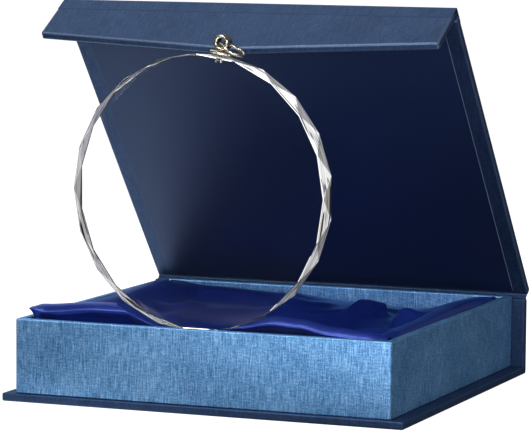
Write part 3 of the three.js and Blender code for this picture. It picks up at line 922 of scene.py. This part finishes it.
LEFT_CREST = [(-1.0, 3.0), (-0.84, 1.9), (-0.6, 0.9), (0.0, 0.4), (0.4, 0.9), (0.8, 1.3), (1.0, -0.4)]
RIGHT_CREST = [(-1.0, 0.6), (-0.7, 0.3), (-0.3, 0.6), (0.1, 1.3), (0.45, 1.8), (0.8, 1.2), (1.0, 0.2)]
REAR_CREST = [
    (-1.0, 0.0), (-0.7, -1.2), (-0.3, -2.0), (0.1, -4.0), (0.5, -5.0), (0.72, -3.4), (0.9, -0.2), (1.0, 0.2),
]
# Folds across the cloth: the crest's course, half width, rise, and how far the crest leans over
FOLDS = [
    ([(0.16, 0.66), (0.27, 0.70), (0.36, 0.66), (0.46, 0.56)], 0.044, 3.4, 3.4),
    ([(0.52, 0.16), (0.68, 0.14), (0.84, 0.22)], 0.045, 2.2, 1.4),
    ([(0.62, 0.02), (0.78, 0.22), (0.88, 0.64)], 0.080, 3.2, 0.8),
    ([(0.50, -0.34), (0.66, -0.30), (0.90, -0.36)], 0.045, 2.6, 1.4),
    ([(0.34, -0.02), (0.50, 0.02), (0.64, -0.10)], 0.045, 1.4, 0.8),
    ([(-0.70, -0.55), (-0.80, -0.30), (-0.78, 0.05)], 0.060, 2.0, 0.8),
    ([(-0.62, -0.70), (-0.48, -0.60), (-0.34, -0.62)], 0.060, 1.8, 0.8),
    ([(-0.84, 0.20), (-0.70, 0.42), (-0.52, 0.60)], 0.055, 1.6, 0.8),
    ([(-0.40, 0.84), (-0.10, 0.80), (0.14, 0.84)], 0.055, 1.4, 0.8),
    ([(0.10, 0.93), (0.62, 0.80)], 0.100, 1.1, 0.0),
]
half_x = tray_high.x - PANEL
half_y = (tray_high.y - tray_low.y) / 2 - PANEL
tray_middle = (tray_low.y + tray_high.y) / 2
front_wall = tray_middle - half_y
disc_low, disc_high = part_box("crystal_disc")
disc_middle = (disc_low + disc_high) / 2


def smooth_share(value, low, high):
    share = min(1.0, max(0.0, (value - low) / (high - low)))
    return share * share * (3 - 2 * share)


# A table's value at a place, which runs smoothly from one entry to the next
def along_wall(table, share):
    for (low, first), (high, second) in zip(table, table[1:]):
        if share <= high:
            return first + (second - first) * smooth_share(share, low, high)
    return table[-1][1]


# How high the cloth may lie under and beside the standing disc
def room_under_disc(x, y):
    along = min(abs(x - disc_middle.x), DISC_RADIUS)
    edge = disc_low.z + DISC_RADIUS - math.sqrt(DISC_RADIUS ** 2 - along ** 2)
    away = max(0.0, abs(y - disc_middle.y) - (disc_high.y - disc_low.y) / 2)
    return edge - DISC_GAP + away


# How far a place is from a fold's course, the direction square to the course, and the fold's share there
def away_from(course, place):
    nearest = None
    for number, (start, end) in enumerate(zip(course, course[1:])):
        run = Vector(end) - Vector(start)
        spot = place - Vector(start)
        share = min(1.0, max(0.0, spot.dot(run) / run.length_squared))
        off = (spot - run * share).length
        if nearest is None or off < nearest[0]:
            along = (number + share) / (len(course) - 1)
            fade = smooth_share(along, 0.0, 0.35) * smooth_share(1 - along, 0.0, 0.35)
            nearest = (off, Vector((-run.y, run.x)).normalized(), fade)
    return nearest


# The cloth's place behind the front roll: bowl, folds, soft unevenness, and the rise to the walls
def satin_inside(s, t):
    x, y = half_x * s, tray_middle + half_y * t
    bowl = smooth_share(BOWL_RADIUS - math.hypot(x, y - tray_middle), 0, BOWL_SLOPE)
    rise = SATIN_LEVEL - BOWL_DEPTH * bowl
    shift = Vector((0, 0))
    behind_roll = smooth_share(t, ROLL_START, ROLL_START + ROLL_FADE)
    for course, width, swell, lean in FOLDS:
        off, across, fade = away_from(course, Vector((s, t)))
        swelling = math.exp(-(off / width) ** 2) * fade * (1 - bowl) * behind_roll
        rise += swell * swelling
        shift += across * lean * MM * swelling
    broad = noise.noise(Vector((s * 3.2, t * 2.8, 3.0))) * 1.1
    fine = noise.noise(Vector((s * 8, t * 7, 7.0))) * 0.35
    rise += (broad + fine) * (1 - bowl)
    wall = along_wall(LEFT_CREST if s < 0 else RIGHT_CREST, t)
    rise += (wall - rise) * smooth_share(abs(s), 0.70, 0.93)
    rise += (along_wall(REAR_CREST, s) - rise) * smooth_share(t, 0.72, 0.93)
    corner = smooth_share(-s, 0.8, 1.0) * smooth_share(-t, 0.45, 0.9)
    tuck = max(smooth_share(abs(s), 0.955, 1.0) * (1 - corner), smooth_share(t, 0.955, 1.0))
    height = rim_height + (rise - EDGE_TUCK * tuck * tuck) * MM
    return Vector((x + shift.x, y + shift.y, min(height, room_under_disc(x, y))))


# The roll along the front wall: a smooth curve through its section, from the hem over the crest to the back
def satin_roll(s, share):
    back = satin_inside(s, ROLL_START)
    crest = along_wall(FRONT_CREST, s) * MM
    hem = along_wall(FRONT_HEM, s) * MM
    tuck = along_wall(FRONT_TUCK, s) * MM
    slope = (satin_inside(s, ROLL_START + SLOPE_STEP) - back) / MM
    full = smooth_share(s, -1.0, -0.9)
    belly = hem + (crest - 2.6 * MM - hem) * 0.7 * full
    section = [
        (front_wall + tuck, rim_height + hem - 2 * MM),
        (front_wall + tuck, rim_height + hem),
        (front_wall + 0.5 * MM + tuck * 0.5, rim_height + belly),
        (front_wall + 0.8 * MM, rim_height + crest - (0.3 + 1.7 * full) * MM),
        (front_wall + 3.3 * MM, rim_height + crest),
        (front_wall + 5.9 * MM, rim_height + crest - 0.7 * MM),
        (front_wall + 8.6 * MM, rim_height + crest * 0.5 - 1.6 * MM),
        (back.y, back.z),
        (back.y + slope.y * MM, back.z + slope.z * MM),
    ]
    place = share * (len(section) - 3)
    index = min(int(place), len(section) - 4)
    u = place - index
    y, z = (
        0.5 * (2 * b + (c - a) * u + (2 * a - 5 * b + 4 * c - d) * u ** 2 + (3 * b - a - 3 * c + d) * u ** 3)
        for a, b, c, d in zip(*section[index:index + 4])
    )
    return Vector((back.x, y, min(z, room_under_disc(back.x, y))))


def satin_point(column, row):
    s = 2 * column / SATIN_COLUMNS - 1
    if row < ROLL_ROWS:
        spot = satin_roll(s, row / ROLL_ROWS)
    else:
        share = (row - ROLL_ROWS) / (SATIN_ROWS - ROLL_ROWS)
        spot = satin_inside(s, ROLL_START + (1 - ROLL_START) * share)
    spot.x = max(WALL_GAP - half_x, min(half_x - WALL_GAP, spot.x))
    spot.y = max(front_wall + WALL_GAP, min(tray_middle + half_y - WALL_GAP, spot.y))
    return spot


def satin_sheet():
    builder = bmesh.new()
    rows = [
        [builder.verts.new(satin_point(column, row)) for column in range(SATIN_COLUMNS + 1)]
        for row in range(SATIN_ROWS + 1)
    ]
    weave = builder.loops.layers.uv.new("weave")
    for row in range(SATIN_ROWS):
        for column in range(SATIN_COLUMNS):
            places = ((column, row), (column + 1, row), (column + 1, row + 1), (column, row + 1))
            face = builder.faces.new([rows[b][a] for a, b in places])
            face.smooth = True
            for loop, (a, b) in zip(face.loops, places):
                loop[weave].uv = (2 * half_x * a / SATIN_COLUMNS, 2 * half_y * b / SATIN_ROWS)
    mesh = bpy.data.meshes.new("satin_drape")
    builder.to_mesh(mesh)
    builder.free()
    mesh.materials.append(SATIN)
    piece = placed("satin_drape", mesh)
    thick = piece.modifiers.new("thickness", "SOLIDIFY")
    thick.thickness = SATIN_THICKNESS
    thick.offset = -1
    return piece


satin_drape = satin_sheet()
belongs(satin_drape, "case", "satin_lining")


# Floor, lamps, world and camera
FLOOR_RADIUS = 6.0
FLOOR_DROP = 0.05 * MM
AMBIENT = 0.85
# Strengths at the left and at the right end of each glow
LEFT_GLOW = (1.5, 0.02)
FRONT_GLOW = (0.65, 9.4)


# Rays to the backdrop: all of them, those that a surface has mirrored, and those that see it white. A
# mirrored ray that passes through glass sees it white only behind the case.
def backdrop_rays(shader, behind):
    path = shader.node("ShaderNodeLightPath", {}, {})
    mirrored = path["Glossy Depth"].at_most(1.0)
    clear = path["Is Camera Ray"] + path["Is Transmission Ray"] * (1 - mirrored * (1 - behind))
    return path, mirrored, clear


# The floor looks white and takes the shadow. Mirrors see a glow to the left of the case and one before it,
# which stand for a real studio's pale surroundings.
def white_floor(shader):
    place = shader.node("ShaderNodeTexCoord", {}, {})["Object"]
    far = shader.node("ShaderNodeVectorMath", {"operation": "LENGTH"}, {0: place})["Value"]
    parts = shader.node("ShaderNodeSeparateXYZ", {}, {"Vector": place})
    across, depth = parts["X"], parts["Y"]
    bright = shader.spread(far, 0.12, 0.4, 0.86, 1.0)
    near = shader.spread(far, 0.25, 0.6, 0.62, 0.05)
    close = shader.spread(far, 0.13, 0.26, 1.0, 0.0)
    path, mirrored, clear = backdrop_rays(shader, shader.spread(depth, -0.06, 0.0, 0.0, 1.0))
    beside = shader.spread(depth, -0.09, -0.05, 0.0, 1.0) * shader.spread(across, -0.15, -0.11, 0.0, 1.0)
    left_glow = beside * close * shader.spread(across, -0.04, 0.03, *LEFT_GLOW)
    in_front = shader.spread(depth, -0.19, -0.12, 1.0, 0.0) * shader.spread(far, 0.20, 0.30, 1.0, 0.0)
    front_glow = in_front * shader.spread(across, -0.10, 0.03, *FRONT_GLOW)
    seen = clear * bright + path["Is Glossy Ray"] * (left_glow + front_glow)
    plain = shader.node("ShaderNodeBsdfDiffuse", {}, {"Color": (0.5, 0.5, 0.5, 1)})["BSDF"]
    light = shader.node("ShaderNodeEmission", {}, {"Color": (1, 1, 1, 1), "Strength": seen})["Emission"]
    dark = shader.node("ShaderNodeBsdfDiffuse", {}, {"Color": (0.05, 0.05, 0.05, 1)})["BSDF"]
    share = near * (1 - mirrored * (1 - close * 0.2))
    table = shader.node("ShaderNodeMixShader", {}, {0: share, 1: dark, 2: plain})["Shader"]
    both = shader.node("ShaderNodeAddShader", {}, {0: table, 1: light})["Shader"]
    shader.node("ShaderNodeOutputMaterial", {}, {"Surface": both})


floor_mesh = bpy.data.meshes.new("floor")
floor_builder = bmesh.new()
bmesh.ops.create_circle(floor_builder, cap_ends=True, segments=64, radius=FLOOR_RADIUS)
floor_builder.to_mesh(floor_mesh)
floor_builder.free()
floor_mesh.transform(Matrix.Translation((0, 0, -FLOOR_DROP)))
floor_mesh.materials.append(material("floor", white_floor))
floor = placed("floor", floor_mesh)


# The world is white behind the case, an even light around it, and a dim dome in mirrors
def studio_world(shader):
    place = shader.node("ShaderNodeTexCoord", {}, {})["Generated"]
    parts = shader.node("ShaderNodeSeparateXYZ", {}, {"Vector": place})
    dome = shader.spread(parts["Z"], 0.02, 0.6, 0.18, 0.05)
    _, mirrored, clear = backdrop_rays(shader, shader.spread(parts["Y"], -0.6, -0.3, 0.0, 1.0))
    strength = clear + (1 - clear) * (mirrored * dome + (1 - mirrored) * AMBIENT)
    sky = shader.node("ShaderNodeBackground", {}, {"Color": (1, 1, 1, 1), "Strength": strength})["Background"]
    shader.node("ShaderNodeOutputWorld", {}, {"Surface": sky})


world = bpy.data.worlds.new("studio")
bpy.context.scene.world = world
studio_world(Shader(world))


def softbox(name, place, target, width, height, power):
    lamp = bpy.data.lights.new(name, "AREA")
    lamp.shape = "RECTANGLE"
    lamp.size = width
    lamp.size_y = height
    lamp.energy = power
    holder = placed(name, lamp)
    holder.location = place
    holder.rotation_euler = (Vector(target) - Vector(place)).to_track_quat("-Z", "Y").to_euler()


softbox("front_softbox", (0.16, -0.44, 0.14), (0.05, 0, 0.02), 0.14, 0.12, 0.85)
softbox("middle_softbox", (-0.24, -0.60, 0.56), (0, 0, 0.02), 0.36, 0.22, 2.6)
softbox("high_softbox", (-0.14, -0.34, 0.85), (0, -0.02, 0.02), 0.26, 0.16, 1.4)
softbox("right_softbox", (0.50, -0.16, 0.30), (0.03, 0, 0.02), 0.2, 0.2, 0.7)
softbox("top_softbox", (-0.30, 0.35, 0.85), (0, 0, 0.06), 0.5, 0.4, 0.8)
softbox("back_softbox", (-0.60, 0.75, 0.70), (0, 0.02, 0.05), 0.6, 0.5, 1.5)

CAMERA_AZIMUTH = math.radians(21.71)
CAMERA_ELEVATION = math.radians(5.83)
CAMERA_ROLL = math.radians(0.47)
CAMERA_DISTANCE = 901.41 * MM
CAMERA_ASIDE = 19.06 * MM
CAMERA_UP = 56.76 * MM
CAMERA_LENS = 214.6
ahead = Vector((
    -math.sin(CAMERA_AZIMUTH) * math.cos(CAMERA_ELEVATION),
    math.cos(CAMERA_AZIMUTH) * math.cos(CAMERA_ELEVATION),
    -math.sin(CAMERA_ELEVATION),
))
level = Vector((math.cos(CAMERA_AZIMUTH), math.sin(CAMERA_AZIMUTH), 0))
above = level.cross(ahead)
side = level * math.cos(CAMERA_ROLL) + above * math.sin(CAMERA_ROLL)
top = above * math.cos(CAMERA_ROLL) - level * math.sin(CAMERA_ROLL)
spot = side * CAMERA_ASIDE + top * CAMERA_UP - ahead * CAMERA_DISTANCE
spot.y += tray_low.y
lens = bpy.data.cameras.new("camera")
lens.lens = CAMERA_LENS
lens.sensor_width = 36
camera = placed("camera", lens)
camera.matrix_world = Matrix.Translation(spot) @ Matrix((side, top, -ahead)).transposed().to_4x4()
bpy.context.scene.camera = camera
bpy.context.scene.view_settings.view_transform = "Standard"
